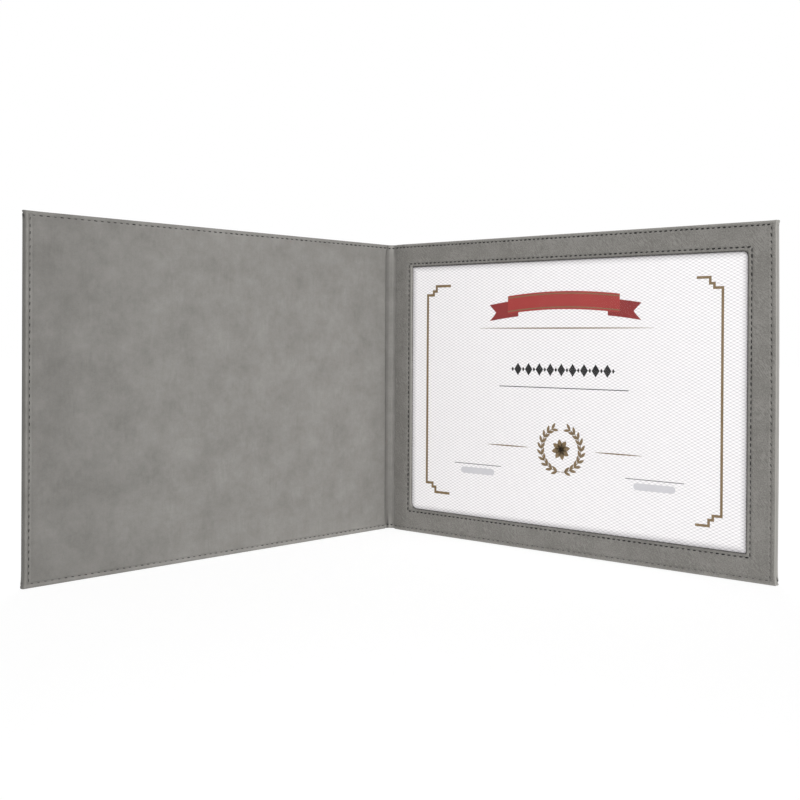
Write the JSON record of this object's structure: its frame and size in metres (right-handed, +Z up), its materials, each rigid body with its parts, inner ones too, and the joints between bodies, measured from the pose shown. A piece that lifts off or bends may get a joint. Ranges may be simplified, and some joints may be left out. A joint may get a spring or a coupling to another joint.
{
  "type": "certificate holder",
  "caption": "Leatherette folder that opens like a book on a soft creased spine, with a stitched window frame and clear sheet over a pocket for a letter-size certificate.",
  "frame": {"origin": "under the middle of the bounding box, on the surface that the holder stands on", "axes": "+Z up along the spine, +X along the back cover from the spine to its fore edge; the window faces -Y"},
  "size_m": [0.3516, 0.3094, 0.2286],
  "materials": {
    "leatherette": "matte suede-like, softly mottled grey",
    "frame_leatherette": "matte suede-like grey with a fine diagonal grain",
    "greyboard": "raw grey board",
    "infill_paper": "uncoated paper",
    "certificate_paper": "smooth white card, printed",
    "clear_sheet": "clear, glossy",
    "thread": "twisted polyester"
  },
  "bodies": {
    "back_cover": {"back_wrap": "leatherette", "back_board": "greyboard", "back_infill": "infill_paper", "back_lining": "leatherette", "back_inner_thread": "thread", "back_outer_thread": "thread", "window_frame": "frame_leatherette", "window_thread": "thread", "window_sheet": "clear_sheet"},
    "certificate": {"certificate": "certificate_paper"},
    "spine": {"spine_wrap": "leatherette", "spine_liner": "leatherette", "spine_inner_thread_top": "thread", "spine_inner_thread_bottom": "thread", "spine_outer_thread_top": "thread", "spine_outer_thread_bottom": "thread"},
    "front_cover": {"front_wrap": "leatherette", "front_board": "greyboard", "front_infill": "infill_paper", "front_liner": "leatherette", "front_inner_thread": "thread", "front_outer_thread": "thread"}
  },
  "joints": [
    {"name": "back_crease", "type": "hinge", "parent": "back_cover", "child": "spine", "pos_m": [-0.12899, 0.15386, 0], "axis": [0, 0, 1], "range_deg": [-41.3, 48.7]},
    {"name": "front_crease", "type": "hinge", "parent": "spine", "child": "front_cover", "pos_m": [-0.13576, 0.14792, 0], "axis": [0, 0, 1], "range_deg": [-41.3, 48.7]},
    {"name": "certificate_slide", "type": "slide", "parent": "back_cover", "child": "certificate", "axis": [1, 0, 0], "range_m": [-0.01, 0.006]}
  ],
  "couplings": [
    {"joint": "front_crease", "follows": "back_crease", "ratio": 1}
  ]
}
